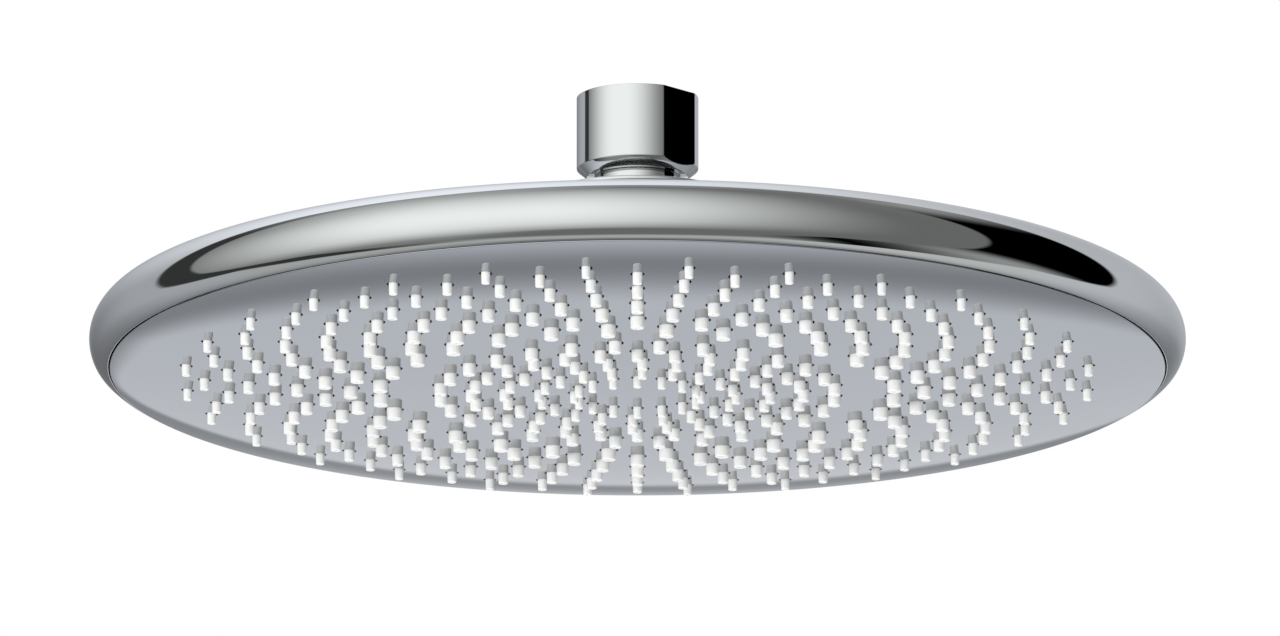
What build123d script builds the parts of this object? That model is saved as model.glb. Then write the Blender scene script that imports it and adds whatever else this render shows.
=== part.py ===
from build123d import *
import os
from math import acos, asin, cos, degrees, radians, sin, sqrt

# A round overhead rain shower head on a swivel ball inlet, in millimetres.
# The origin is the centre of the inlet's top face. Z points up, and the head hangs below it.

# Inlet nut, with a female pipe thread and two wrench flats
nut_diameter = 27.8
nut_height = 18.7
nut_flats = 25.8
nut_flats_turn = -42.0
nut_chamfer_width = 2.3
nut_chamfer_height = 1.9
nut_top_chamfer = 0.3
thread_radius = 10.48
thread_depth = 9.4
seat_radius = 10.1
seat_depth = 2.5

# Ball stem, pushed up into the nut from below
neck_diameter = 19.6
neck_length = 2.7
throat_radius = 7.5
throat_flare = 2.0
throat_drop = 10.0
ball_radius = 11.0
ball_cut = 9.0
stem_bore = 5.5
spigot_radius = 8.6
stem_oring_section = 1.1
stem_oring_groove = 1.3
stem_oring_height = 1.7

# Washer, filter and flow regulator at the bottom of the thread
washer_bore = 6.0
washer_thickness = 2.0
filter_thickness = 0.4
filter_rim = 1.6
filter_sag = 1.3
regulator_radius = 6.6
regulator_height = 3.6
regulator_wall = 1.3
regulator_floor = 1.2
regulator_core = 2.0
regulator_ring_section = 1.8
regulator_ports = 8
regulator_port_radius = 0.5

# Ball joint: the liner floats between the ball and the collar
liner_wall = 1.4
liner_top_angle = 57.0
liner_low_angle = 92.0
collar_radius = 19.2
collar_skirt = 11.5
collar_shoulder = 4.0
collar_top = 8.0
collar_nose = 15.0
collar_mouth = 11.8
socket_radius = 16.5
socket_bore = 13.7
socket_drop = 1.0
seal_top_angle = 112.0
seal_low_angle = 138.0
seal_height = 6.3
seal_washer_thickness = 1.5

# Body shell: a low bell with a boss round the neck and a rounded rim
head_diameter = 250.0
shell_wall = 2.4
opening_radius = 13.5
boss_rise = 10.6
boss_radius = 15.5
boss_round = 16.0
bell_drop = 26.4
rim_round = 8.0
tuck_round = 5.0
tuck_turn = 24.0
lip_round = 10.0
lip_turn = 45.0
mouth_wall = 4.1

# Face plate: a shallow dome, lowest in the middle and rounder outside the turn
plate_gap = 0.5
plate_proud = 0.33
plate_thickness = 2.2
plate_dome_radius = 1740.0
plate_outer_dome = 590.0
plate_turn = 75.0
plate_edge_round = 1.0
skirt_wall = 2.2
skirt_inset = 2.8

# Nozzles, in an inner and an outer field of rings
nozzle_length = 2.4
nozzle_taper = 1.8
nozzle_hole_gap = 0.45
nozzle_sides = 6
ring_pitch_loss = 0.258
inner_first_radius = 14.42
inner_first_pitch = 8.06
inner_first_nozzle = 2.17
inner_nozzle_gain = 0.245
inner_counts = (16, 20, 24, 28, 28)
inner_turns = (0.0, 2.9, 2.1, 0.0, 180 / 28)
outer_first_radius = 58.86
outer_first_pitch = 6.46
outer_first_nozzle = 3.62
outer_nozzle_loss = 0.175
outer_count = 28
outer_margin = 0.5

# Silicone mat that carries the nozzles, with a bead round its edge
mat_thickness = 1.2
mat_inset = 1.0
bead_width = 2.4
bead_height = 2.4

# Waterway plate: the roof of the water chamber, with the ball socket on a tower
waterway_gap = 2.5
waterway_drop = 1.1
waterway_thickness = 2.5
tower_radius = 12.5
tower_bore = 9.0
tower_flare = 4.0
rib_count = 8
rib_thickness = 2.0
rib_inset = 10.0
rib_tip_height = 2.0
rib_root_height = 6.0

# Screws up through the waterway into the shell, and snap hooks that hold the plate
screw_count = 8
screw_inset = 3.6
screw_radius = 1.45
screw_bite = 4.0
screw_head_radius = 2.8
screw_head_height = 1.9
screw_slot_width = 0.8
screw_slot_depth = 0.9
screw_boss_wall = 2.0
hook_count = 8
hook_width = 8.0
hook_wall = 1.6
hook_barb = 1.2
hook_barb_height = 1.4
hook_room = 0.3

# Clearances of fixed fits and of the ball joint's curved faces
fit_gap = 0.05
seat_gap = 0.1

# Levels and radii that follow from the sizes above
thread_floor = -thread_depth
seat_floor = thread_floor - seat_depth
neck_level = -nut_height
throat_level = neck_level - neck_length
ball_level = throat_level - throat_flare - throat_drop
boss_level = ball_level + boss_rise
head_radius = head_diameter / 2
rim_centre = head_radius - rim_round
rim_top = boss_level - bell_drop
rim_level = rim_top - rim_round
bell_span = rim_centre - boss_radius
bell_reach = (bell_span**2 + bell_drop**2) / (2 * bell_drop)
bell_round = bell_reach - boss_round
bell_slope = degrees(asin(bell_span / bell_reach))
mouth_radius = head_radius - mouth_wall
tuck_centre = rim_centre + (rim_round - tuck_round) * cos(radians(tuck_turn))
tuck_level = rim_level - (rim_round - tuck_round) * sin(radians(tuck_turn))
lip_centre = tuck_centre - (lip_round - tuck_round) * cos(radians(lip_turn))
lip_level = tuck_level + (lip_round - tuck_round) * sin(radians(lip_turn))
mouth_turn = degrees(acos((mouth_radius - lip_centre) / lip_round))
rim_low = lip_level - lip_round * sin(radians(mouth_turn))
plate_radius = mouth_radius - plate_gap
hook_radius = plate_radius - skirt_inset
waterway_radius = mouth_radius - waterway_gap
waterway_level = rim_level - waterway_drop
waterway_top = waterway_level + waterway_thickness
screw_circle = hook_radius - skirt_wall - screw_inset
mat_radius = screw_circle - screw_head_radius - mat_inset
mat_rise = plate_thickness + seat_gap
rib_reach = mat_radius - rib_inset
turn_slope = asin(plate_turn / plate_dome_radius)
outer_dome_radius = plate_turn - plate_outer_dome * sin(turn_slope)
outer_dome_rise = sqrt(plate_outer_dome**2 - (plate_radius - outer_dome_radius) ** 2)
outer_dome_level = rim_low - plate_proud + outer_dome_rise
dome_centre = outer_dome_level + (plate_dome_radius - plate_outer_dome) * cos(turn_slope)
liner_inner = ball_radius + seat_gap
liner_outer = liner_inner + liner_wall
collar_seat = liner_outer + seat_gap
socket_top = ball_level - socket_drop
seal_face = ball_radius + seat_gap
seal_floor = ball_level + seal_face * cos(radians(seal_top_angle)) - seal_height
shelf_level = seal_floor - seal_washer_thickness


def dome_turn(rise):
    """The radius where the plate's outer dome takes over, on the face that lies a rise above the outside."""
    return (plate_dome_radius - rise) * sin(turn_slope)


def dome_level(radius, rise=0.0):
    """Height of the plate's outer face at a radius, or of the face that lies a rise above it."""
    if radius <= dome_turn(rise):
        return dome_centre - sqrt((plate_dome_radius - rise) ** 2 - radius**2)
    return outer_dome_level - sqrt((plate_outer_dome - rise) ** 2 - (radius - outer_dome_radius) ** 2)


def dome_arcs(start, end, rise=0.0):
    """The two arcs of the plate's dome between the middle and a radius, either way."""
    turn = dome_turn(rise)
    spans = [(start, (start + turn) / 2, turn), (turn, (turn + end) / 2, end)]
    return [ThreePointArc(*[(radius, dome_level(radius, rise)) for radius in span]) for span in spans]


def ball_point(radius, angle):
    """A point of a sphere round the ball's centre, at an angle from straight up."""
    return (radius * sin(radians(angle)), ball_level + radius * cos(radians(angle)))


def ball_arc(radius, start, end):
    """An arc of a sphere round the ball's centre between two angles."""
    middle = (start + end) / 2
    return ThreePointArc(*[ball_point(radius, angle) for angle in (start, middle, end)])


def turned(*edges):
    """A solid of revolution from the edges of its half section."""
    return revolve(Plane.XZ * make_face(edges), Axis.Z)


def turned_polygon(*points):
    """A solid of revolution from the corners of its half section."""
    return turned(Polyline(*points, close=True))


def tube(inner, outer, low, high):
    """A plain ring between two radii and two levels."""
    return turned_polygon((inner, low), (outer, low), (outer, high), (inner, high))


def rod(radius, low, high):
    """A plain round rod on the axis between two levels."""
    return turned_polygon((0, low), (radius, low), (radius, high), (0, high))


def block(inner, outer, width, low, high):
    """A box that runs outwards along X between two radii and two levels."""
    middle = Pos((inner + outer) / 2, 0, (low + high) / 2)
    return middle * Box(outer - inner, width, high - low)


def around(count, radius=0.0, turn=0.0):
    """Places on a circle round the axis, each turned to face outwards."""
    return [Rot(0, 0, turn + i * 360 / count) * Pos(radius, 0, 0) for i in range(count)]


def make_inlet_nut():
    """Turned nut with a threaded mouth, a washer seat, two wrench flats and a chamfered foot."""
    radius = nut_diameter / 2
    bore = spigot_radius + fit_gap
    nut = turned_polygon(
        (bore, neck_level),
        (radius - nut_chamfer_width, neck_level),
        (radius, neck_level + nut_chamfer_height),
        (radius, -nut_top_chamfer),
        (radius - nut_top_chamfer, 0),
        (thread_radius, 0),
        (thread_radius, thread_floor),
        (seat_radius, thread_floor),
        (seat_radius, seat_floor),
        (bore, seat_floor),
    )
    slab = Pos(0, 0, neck_level / 2) * Box(nut_flats, 2 * nut_diameter, 2 * nut_height)
    return nut & Rot(0, 0, nut_flats_turn) * slab


def make_ball_stem():
    """Turned stem: a spigot with a seal groove, the neck, a throat and the ball, bored through."""
    neck = neck_diameter / 2
    throat_angle = degrees(asin(throat_radius / ball_radius))
    cut_angle = degrees(acos(-ball_cut / ball_radius))
    groove_low = neck_level + stem_oring_height - stem_oring_groove / 2
    groove_high = groove_low + stem_oring_groove
    groove_radius = spigot_radius - stem_oring_section
    outline = Polyline(
        ball_point(ball_radius, throat_angle),
        (throat_radius, throat_level - throat_flare),
        (neck, throat_level),
        (neck, neck_level),
        (spigot_radius, neck_level),
        (spigot_radius, groove_low),
        (groove_radius, groove_low),
        (groove_radius, groove_high),
        (spigot_radius, groove_high),
        (spigot_radius, seat_floor),
        (regulator_radius, seat_floor),
        (regulator_radius, seat_floor - regulator_height),
        (stem_bore, seat_floor - regulator_height),
        (stem_bore, ball_level - ball_cut),
        ball_point(ball_radius, cut_angle),
    )
    return turned(outline, ball_arc(ball_radius, cut_angle, throat_angle))


def make_stem_oring():
    """Seal in the spigot's groove."""
    middle = spigot_radius - stem_oring_section / 2
    return Pos(0, 0, neck_level + stem_oring_height) * Torus(middle, stem_oring_section / 2)


def make_inlet_washer():
    """Flat rubber washer on its seat below the thread."""
    return tube(washer_bore, seat_radius - fit_gap, seat_floor, seat_floor + washer_thickness)


def make_filter_screen():
    """Dished steel screen whose rim lies on the washer."""
    low = seat_floor + washer_thickness
    high = low + filter_thickness
    dish = washer_bore - filter_thickness
    rim = washer_bore + filter_rim
    half = dish / 2
    bulge = (dish**2 + filter_sag**2) / (2 * filter_sag)
    bow = filter_sag - bulge + sqrt(bulge**2 - half**2)
    outline = Polyline((dish, low), (rim, low), (rim, high), (dish, high))
    upper = ThreePointArc((dish, high), (half, high - bow), (0, high - filter_sag))
    lower = ThreePointArc((0, low - filter_sag), (half, low - bow), (dish, low))
    return turned(outline, upper, Line(upper @ 1, lower @ 0), lower)


def make_flow_regulator():
    """Cup with a core and a ring of ports, in the top of the stem."""
    low = seat_floor - regulator_height
    floor = low + regulator_floor
    outer = regulator_radius - fit_gap
    inner = outer - regulator_wall
    cup = turned_polygon(
        (0, low),
        (outer, low),
        (outer, seat_floor),
        (inner, seat_floor),
        (inner, floor),
        (regulator_core, floor),
        (regulator_core, seat_floor),
        (0, seat_floor),
    )
    port = rod(regulator_port_radius, low, floor)
    return cup - [place * port for place in around(regulator_ports, (inner + regulator_core) / 2)]


def make_regulator_ring():
    """Soft ring round the regulator's core."""
    floor = seat_floor - regulator_height + regulator_floor
    section = regulator_ring_section / 2
    return Pos(0, 0, floor + section) * Torus(regulator_core + fit_gap + section, section)


def make_ball_liner():
    """Slip ring between the ball and the collar, round inside and outside."""
    return turned(
        ball_arc(liner_inner, liner_top_angle, liner_low_angle),
        Line(ball_point(liner_inner, liner_low_angle), ball_point(liner_outer, liner_low_angle)),
        ball_arc(liner_outer, liner_low_angle, liner_top_angle),
        Line(ball_point(liner_outer, liner_top_angle), ball_point(liner_inner, liner_top_angle)),
    )


def make_ball_collar():
    """Screw collar that carries the head on the ball's upper half."""
    low_angle = degrees(acos(-socket_drop / collar_seat))
    outline = Polyline(
        ball_point(collar_seat, liner_top_angle),
        (collar_mouth, ball_level + collar_top),
        (collar_nose, ball_level + collar_top),
        (collar_radius, ball_level + collar_shoulder),
        (collar_radius, ball_level - collar_skirt),
        (socket_radius + fit_gap, ball_level - collar_skirt),
        (socket_radius + fit_gap, socket_top),
        ball_point(collar_seat, low_angle),
    )
    return turned(outline, ball_arc(collar_seat, low_angle, liner_top_angle))


def make_ball_seal():
    """Rubber cup seal under the ball."""
    outer = socket_bore - fit_gap
    top = ball_point(seal_face, seal_top_angle)
    low = ball_point(seal_face, seal_low_angle)
    outline = Polyline(low, (low[0], seal_floor), (outer, seal_floor), (outer, top[1]), top)
    return turned(outline, ball_arc(seal_face, seal_top_angle, seal_low_angle))


def make_seal_washer():
    """Stiff ring that the seal stands on."""
    return tube(tower_bore, socket_bore - fit_gap, shelf_level, seal_floor)


def boss_point(depth, angle):
    """A point of the boss's round shoulder, at a depth under the outside and an angle from straight up."""
    radius = boss_round - depth
    return (
        boss_radius + radius * sin(radians(angle)),
        boss_level - boss_round + radius * cos(radians(angle)),
    )


def bell_point(depth, angle):
    """A point of the bell's hollow flank, at a depth under the outside and an angle from the rim's top."""
    radius = bell_round + depth
    return (
        rim_centre - radius * sin(radians(angle)),
        rim_top + bell_round - radius * cos(radians(angle)),
    )


def crown(depth):
    """The bell's profile from its boss to the rim's top: a round shoulder and a hollow flank."""
    return [
        ThreePointArc(*[boss_point(depth, angle) for angle in (0, bell_slope / 2, bell_slope)]),
        ThreePointArc(*[bell_point(depth, angle) for angle in (bell_slope, bell_slope / 2, 0)]),
    ]


def rim_arc(centre, level, radius, start, end):
    """An arc of the rim's profile between two angles, counted from outwards towards upwards."""
    angles = [radians(angle) for angle in (start, (start + end) / 2, end)]
    return ThreePointArc(*[(centre + radius * cos(a), level + radius * sin(a)) for a in angles])


def make_body_shell():
    """Bell with a rounded rim, an opening for the neck and a ring of screw bosses inside."""
    rim = [
        rim_arc(rim_centre, rim_level, rim_round, 90, -tuck_turn),
        rim_arc(tuck_centre, tuck_level, tuck_round, -tuck_turn, -lip_turn),
        rim_arc(lip_centre, lip_level, lip_round, -lip_turn, -mouth_turn),
    ]
    corner = degrees(acos((mouth_radius - rim_centre) / (rim_round - shell_wall)))
    hollow = rim_arc(rim_centre, rim_level, rim_round - shell_wall, corner, 90)
    inside_level = boss_level - shell_wall
    bell = turned(
        Polyline(
            (boss_radius, inside_level),
            (opening_radius, inside_level),
            (opening_radius, boss_level),
            (boss_radius, boss_level),
        ),
        *crown(0),
        *rim,
        Line((mouth_radius, rim_low), hollow @ 0),
        hollow,
        *crown(shell_wall),
    )
    within = crown(shell_wall / 2)
    floor = Polyline(
        within[-1] @ 1, (rim_centre, waterway_top), (boss_radius, waterway_top), within[0] @ 0
    )
    room = turned(*within, floor)
    boss = rod(screw_radius + fit_gap + screw_boss_wall, waterway_top, boss_level)
    hole = rod(screw_radius + fit_gap, waterway_top, waterway_top + screw_bite + seat_gap)
    places = around(screw_count, screw_circle)
    bosses = [room & (place * boss) for place in places]
    return (bell + bosses) - [place * hole for place in places]


def make_shell_screws():
    """Pan-head screws up through the waterway into the shell's bosses."""
    head = rod(screw_head_radius, waterway_level - screw_head_height, waterway_level)
    shank = rod(screw_radius, waterway_level, waterway_top + screw_bite)
    slot_middle = waterway_level - screw_head_height + screw_slot_depth / 2
    slot = Pos(0, 0, slot_middle) * Box(2 * screw_head_radius, screw_slot_width, screw_slot_depth)
    screw = head + shank - slot
    return Compound([place * screw for place in around(screw_count, screw_circle)])


def hook_places():
    """The hooks stand midway between the screws."""
    return around(hook_count, turn=180 / hook_count)


def make_waterway_plate():
    """Chamber roof with a seal wall, a ribbed tower that holds the ball seat, and hook notches."""
    flare_low = shelf_level - tower_flare
    plate = rod(waterway_radius, waterway_level, waterway_top)
    tower = turned_polygon(
        (0, waterway_level),
        (tower_radius, waterway_level),
        (tower_radius, flare_low),
        (socket_radius, shelf_level),
        (socket_radius, socket_top),
        (0, socket_top),
    )
    wall_low = dome_level(mat_radius, mat_rise) + bead_height
    wall = tube(mat_radius - bead_width, mat_radius, wall_low, waterway_level)
    rib_face = Polyline(
        (tower_bore, waterway_level),
        (rib_reach, waterway_level),
        (rib_reach, waterway_top + rib_tip_height),
        (tower_radius, waterway_top + rib_root_height),
        (tower_bore, waterway_top + rib_root_height),
        close=True,
    )
    rib = extrude(Plane.XZ * make_face(rib_face), rib_thickness / 2, both=True)
    ribs = [place * rib for place in around(rib_count)]
    bore = rod(tower_bore, waterway_level, shelf_level)
    socket = rod(socket_bore, shelf_level, socket_top)
    hole = rod(screw_radius + seat_gap, waterway_level, waterway_top)
    holes = [place * hole for place in around(screw_count, screw_circle)]
    notch_inner = hook_radius - hook_wall - hook_room
    notch = block(notch_inner, head_radius, hook_width + 2 * hook_room, waterway_level, waterway_top)
    notches = [place * notch for place in hook_places()]
    return (plate + tower + wall + ribs) - [bore, socket] - holes - notches


def nozzle_rings():
    """Radius, count, first angle and nozzle diameter of every ring, from the middle outwards."""
    rings = []
    radius = inner_first_radius
    for i, (count, turn) in enumerate(zip(inner_counts, inner_turns)):
        rings.append((radius, count, turn, inner_first_nozzle + i * inner_nozzle_gain))
        radius += inner_first_pitch - i * ring_pitch_loss
    radius = outer_first_radius
    nozzle = outer_first_nozzle
    pitch = outer_first_pitch
    turn = 180 / outer_count
    while radius + nozzle / 2 + outer_margin < mat_radius - bead_width:
        rings.append((radius, outer_count, turn, nozzle))
        radius += pitch
        pitch -= ring_pitch_loss
        nozzle -= outer_nozzle_loss
        turn = 180 / outer_count - turn
    return rings


def ring_places(radius, count, turn):
    """The nozzles of a ring, counted from the front of the head."""
    return around(count, radius, turn - 90)


def make_face_plate():
    """Domed plate with a hole for every nozzle, a rounded edge, and a skirt with snap hooks."""
    flat = plate_radius - plate_edge_round
    edge_level = dome_level(flat)
    corner = plate_edge_round * sqrt(0.5)
    middle = (flat + corner, edge_level + plate_edge_round - corner)
    edge = ThreePointArc((flat, edge_level), middle, (plate_radius, edge_level + plate_edge_round))
    back = (plate_radius, dome_level(plate_radius, plate_thickness))
    disc = turned(
        *dome_arcs(0, flat),
        edge,
        Line(edge @ 1, back),
        *dome_arcs(plate_radius, 0, plate_thickness),
        Line((0, dome_level(0, plate_thickness)), (0, dome_level(0))),
    )
    outer = hook_radius
    skirt_low = dome_level(outer, plate_thickness / 2)
    skirt = tube(outer - skirt_wall, outer, skirt_low, waterway_level)
    barb_low = waterway_top + seat_gap
    barb_high = barb_low + hook_barb_height
    post = block(outer - hook_wall, outer, hook_width, skirt_low, barb_high)
    barb = block(outer - hook_wall - hook_barb, outer, hook_width, barb_low, barb_high)
    hooks = [place * (post + barb) for place in hook_places()]
    holes = []
    for radius, count, turn, diameter in nozzle_rings():
        section = RegularPolygon(diameter / 2 + nozzle_hole_gap, nozzle_sides)
        low = dome_level(radius) - plate_thickness
        hole = extrude(Pos(0, 0, low) * section, 3 * plate_thickness)
        holes += [place * hole for place in ring_places(radius, count, turn)]
    plate = disc + skirt + hooks
    return plate.cut(*holes)


def make_nozzle_mat():
    """Silicone sheet with its bead and all its nozzles, moulded as one piece."""
    top = mat_rise + mat_thickness
    sheet = turned(
        *dome_arcs(0, mat_radius, mat_rise),
        Line((mat_radius, dome_level(mat_radius, mat_rise)), (mat_radius, dome_level(mat_radius, top))),
        *dome_arcs(mat_radius, 0, top),
        Line((0, dome_level(0, top)), (0, dome_level(0, mat_rise))),
    )
    bead_inner = mat_radius - bead_width
    bead_low = dome_level(mat_radius, mat_rise + mat_thickness / 4)
    bead = tube(bead_inner, mat_radius, bead_low, dome_level(mat_radius, mat_rise) + bead_height)
    nozzles = []
    for radius, count, turn, diameter in nozzle_rings():
        root = dome_level(radius, mat_rise + mat_thickness / 2)
        length = root - dome_level(radius) + nozzle_length
        section = Pos(0, 0, root) * RegularPolygon(diameter / 2, nozzle_sides)
        nozzle = extrude(section, -length, taper=nozzle_taper)
        nozzles += [place * nozzle for place in ring_places(radius, count, turn)]
    return (sheet + bead).fuse(*nozzles)


parts = {
    "inlet_nut": make_inlet_nut(),
    "ball_stem": make_ball_stem(),
    "stem_oring": make_stem_oring(),
    "inlet_washer": make_inlet_washer(),
    "filter_screen": make_filter_screen(),
    "flow_regulator": make_flow_regulator(),
    "regulator_ring": make_regulator_ring(),
    "ball_liner": make_ball_liner(),
    "ball_collar": make_ball_collar(),
    "ball_seal": make_ball_seal(),
    "seal_washer": make_seal_washer(),
    "waterway_plate": make_waterway_plate(),
    "body_shell": make_body_shell(),
    "shell_screws": make_shell_screws(),
    "nozzle_mat": make_nozzle_mat(),
    "face_plate": make_face_plate(),
}
os.makedirs("parts", exist_ok=True)
for name, part in parts.items():
    export_step(part, f"parts/{name}.step")
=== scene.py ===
import logging
from dataclasses import dataclass
from enum import Enum
from math import acos, asin, cos, degrees, hypot, pi, radians, sin, sqrt, tan
from typing import Iterator, Union

import bpy
from bpy.types import Material, Node, NodeSocket, NodeTree, Object
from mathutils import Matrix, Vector


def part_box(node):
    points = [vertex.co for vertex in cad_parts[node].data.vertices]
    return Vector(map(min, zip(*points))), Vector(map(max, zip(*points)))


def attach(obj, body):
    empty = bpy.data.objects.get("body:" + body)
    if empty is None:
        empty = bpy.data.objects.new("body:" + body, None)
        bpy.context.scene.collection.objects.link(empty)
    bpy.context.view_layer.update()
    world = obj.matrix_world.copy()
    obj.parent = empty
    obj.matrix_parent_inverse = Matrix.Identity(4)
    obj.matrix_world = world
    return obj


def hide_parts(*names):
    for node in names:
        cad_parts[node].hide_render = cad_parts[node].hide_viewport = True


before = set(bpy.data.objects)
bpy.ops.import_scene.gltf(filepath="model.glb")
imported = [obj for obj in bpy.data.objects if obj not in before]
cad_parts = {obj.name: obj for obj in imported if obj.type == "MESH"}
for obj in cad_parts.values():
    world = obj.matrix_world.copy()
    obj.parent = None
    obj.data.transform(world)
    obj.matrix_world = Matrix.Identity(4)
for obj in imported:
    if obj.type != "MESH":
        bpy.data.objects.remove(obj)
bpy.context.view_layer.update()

# A round overhead rain shower head on a swivel ball inlet, sized in millimetres
log = logging.getLogger("shower_head")
MM = 0.001
SMOOTH_ANGLE = radians(34.0)
MERGE_DISTANCE = 1e-6

Point = tuple[float, float]
Range = tuple[float, float]
Colour = tuple[float, float, float]
Fed = Union[NodeSocket, float, Colour]
WHITE: Colour = (1.0, 1.0, 1.0)


class Body(Enum):
    """The bodies that the pieces ride on."""

    INLET = "inlet"
    HEAD = "head"


class Slot(Enum):
    """The material slots of the record, whose names the new pieces' finishes share."""

    INLET_CHROME = "inlet_chrome"
    SHELL_CHROME = "shell_chrome"
    PLATE_CHROME = "plate_chrome"
    NOZZLE_SILICONE = "nozzle_silicone"
    FILTER_STEEL = "filter_steel"
    BEARING_PLASTIC = "bearing_plastic"


class Join(Enum):
    """The ways in which one solid meets another."""

    CUT = "DIFFERENCE"
    UNITE = "UNION"


# Small tools for shaping pieces


def deselect() -> None:
    """Leaves no object selected, and none in edit mode."""
    if bpy.context.object is not None and bpy.context.object.mode != "OBJECT":
        bpy.ops.object.mode_set(mode="OBJECT")
    bpy.ops.object.select_all(action="DESELECT")


def pick(piece: Object) -> None:
    """Makes a piece the only selected object, and the active one.

    Args:
        piece: The piece.
    """
    deselect()
    piece.select_set(True)
    bpy.context.view_layer.objects.active = piece


def arc(centre: Union[Point, Vector], radii: Point, start: float, end: float, steps: int) -> list[Point]:
    """Points of a circular or elliptic arc in a half section.

    Args:
        centre: Radius and level of the arc's centre.
        radii: Half widths along the radius and along the axis.
        start: First angle in degrees, from outwards towards upwards.
        end: Last angle in degrees.
        steps: Number of spans.

    Returns:
        The points, both ends included.
    """
    angles = [radians(start + (end - start) * i / steps) for i in range(steps + 1)]
    return [(centre[0] + radii[0] * cos(a), centre[1] + radii[1] * sin(a)) for a in angles]


def eased(corners: list[tuple[float, float, float]], steps: int = 4) -> list[Point]:
    """Points of an open outline whose inner corners are rounded.

    Args:
        corners: Radius, level and rounding of each corner.
        steps: Spans of each rounding.

    Returns:
        The outline's points.
    """
    points: list[Point] = [corners[0][:2]]
    for before, (x, z, rounding), after in zip(corners, corners[1:], corners[2:]):
        if rounding == 0:
            points.append((x, z))
            continue
        corner = Vector((x, z))
        back = (Vector(before[:2]) - corner).normalized()
        ahead = (Vector(after[:2]) - corner).normalized()
        half = back.angle(ahead) / 2
        centre = corner + (back + ahead).normalized() * rounding / sin(half)
        first = corner + back * rounding / tan(half) - centre
        last = corner + ahead * rounding / tan(half) - centre
        for i in range(steps + 1):
            spoke = first.lerp(last, i / steps).normalized() * rounding
            points.append(tuple(centre + spoke))
    points.append(corners[-1][:2])
    return points


def turned(name: str, profile: list[Point], segments: int, at: Point = (0.0, 0.0)) -> Object:
    """Extrudes a point along a half section and spins the section round an upright axis.

    Args:
        name: The piece's name.
        profile: Radius and level of each point. A section that returns to its first point is closed.
        segments: Spans round the axis.
        at: X and Y of the axis.

    Returns:
        The turned piece, with its faces pointing outwards.
    """
    deselect()
    start = ((at[0] + profile[0][0]) * MM, at[1] * MM, profile[0][1] * MM)
    bpy.ops.mesh.primitive_plane_add(size=MM, location=start)
    piece = bpy.context.object
    piece.name = piece.data.name = name
    bpy.ops.object.transform_apply(location=True, rotation=True, scale=True)
    bpy.ops.object.mode_set(mode="EDIT")
    bpy.ops.mesh.select_mode(type="VERT")
    bpy.ops.mesh.select_all(action="SELECT")
    bpy.ops.mesh.merge(type="CENTER")
    for (r0, z0), (r1, z1) in zip(profile, profile[1:]):
        step = ((r1 - r0) * MM, 0.0, (z1 - z0) * MM)
        bpy.ops.mesh.extrude_vertices_move(TRANSFORM_OT_translate={"value": step})
    bpy.ops.mesh.select_all(action="SELECT")
    centre = (at[0] * MM, at[1] * MM, 0.0)
    bpy.ops.mesh.spin(steps=segments, angle=2 * pi, use_auto_merge=True, center=centre, axis=(0, 0, 1))
    close_seams()
    bpy.ops.object.mode_set(mode="OBJECT")
    return piece


def close_seams() -> None:
    """Merges the doubles of the mesh in edit mode, and turns its faces outwards."""
    bpy.ops.mesh.select_all(action="SELECT")
    bpy.ops.mesh.remove_doubles(threshold=MERGE_DISTANCE)
    bpy.ops.mesh.normals_make_consistent(inside=False)


def repeat_round(piece: Object, count: int) -> None:
    """Copies all of a piece's mesh round the inlet's axis, at equal angles.

    Args:
        piece: The piece, which becomes all of its copies.
        count: Number of places on the circle.
    """
    pick(piece)
    bpy.ops.object.mode_set(mode="EDIT")
    bpy.ops.mesh.select_all(action="SELECT")
    angle = 2 * pi * (count - 1) / count
    bpy.ops.mesh.spin(steps=count - 1, angle=angle, dupli=True, center=(0, 0, 0), axis=(0, 0, 1))
    bpy.ops.object.mode_set(mode="OBJECT")


def joined(pieces: list[Object], name: str) -> Object:
    """Makes several meshes one object.

    Args:
        pieces: The objects, of which the first stays.
        name: Name of the result.

    Returns:
        The first object, which now holds all the meshes.
    """
    pick(pieces[0])
    for piece in pieces[1:]:
        piece.select_set(True)
    if len(pieces) > 1:
        bpy.ops.object.join()
    pieces[0].name = pieces[0].data.name = name
    return pieces[0]


def combine(piece: Object, other: Object, way: Join) -> None:
    """Cuts another solid out of a piece or fuses it to the piece, and removes the other.

    Args:
        piece: The solid that stays.
        other: The solid that is used up.
        way: Whether it is cut out or fused.
    """
    pick(piece)
    modifier = piece.modifiers.new("combine", "BOOLEAN")
    modifier.operation = way.value
    modifier.solver = "MANIFOLD"
    modifier.object = other
    bpy.ops.object.modifier_apply(modifier=modifier.name)
    bpy.data.objects.remove(other)


def soften_edges(piece: Object, width: float, segments: int = 2) -> None:
    """Rounds a piece's hard edges, as tumbling and plating do.

    Args:
        piece: The piece.
        width: Width of the rounding in millimetres.
        segments: Spans across the rounding.
    """
    pick(piece)
    bevel = piece.modifiers.new("edges", "BEVEL")
    bevel.width = width * MM
    bevel.segments = segments
    bevel.limit_method = "ANGLE"
    bevel.angle_limit = SMOOTH_ANGLE
    bpy.ops.object.modifier_apply(modifier=bevel.name)


def smooth(piece: Object, weighted: bool = False) -> None:
    """Shades a piece smooth up to its hard edges.

    Args:
        piece: The piece.
        weighted: Whether large flat faces keep their own normal beside a rounding.
    """
    pick(piece)
    bpy.ops.object.shade_smooth_by_angle(angle=SMOOTH_ANGLE)
    if weighted:
        modifier = piece.modifiers.new("flats", "WEIGHTED_NORMAL")
        modifier.keep_sharp = True
        bpy.ops.object.modifier_apply(modifier=modifier.name)


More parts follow.
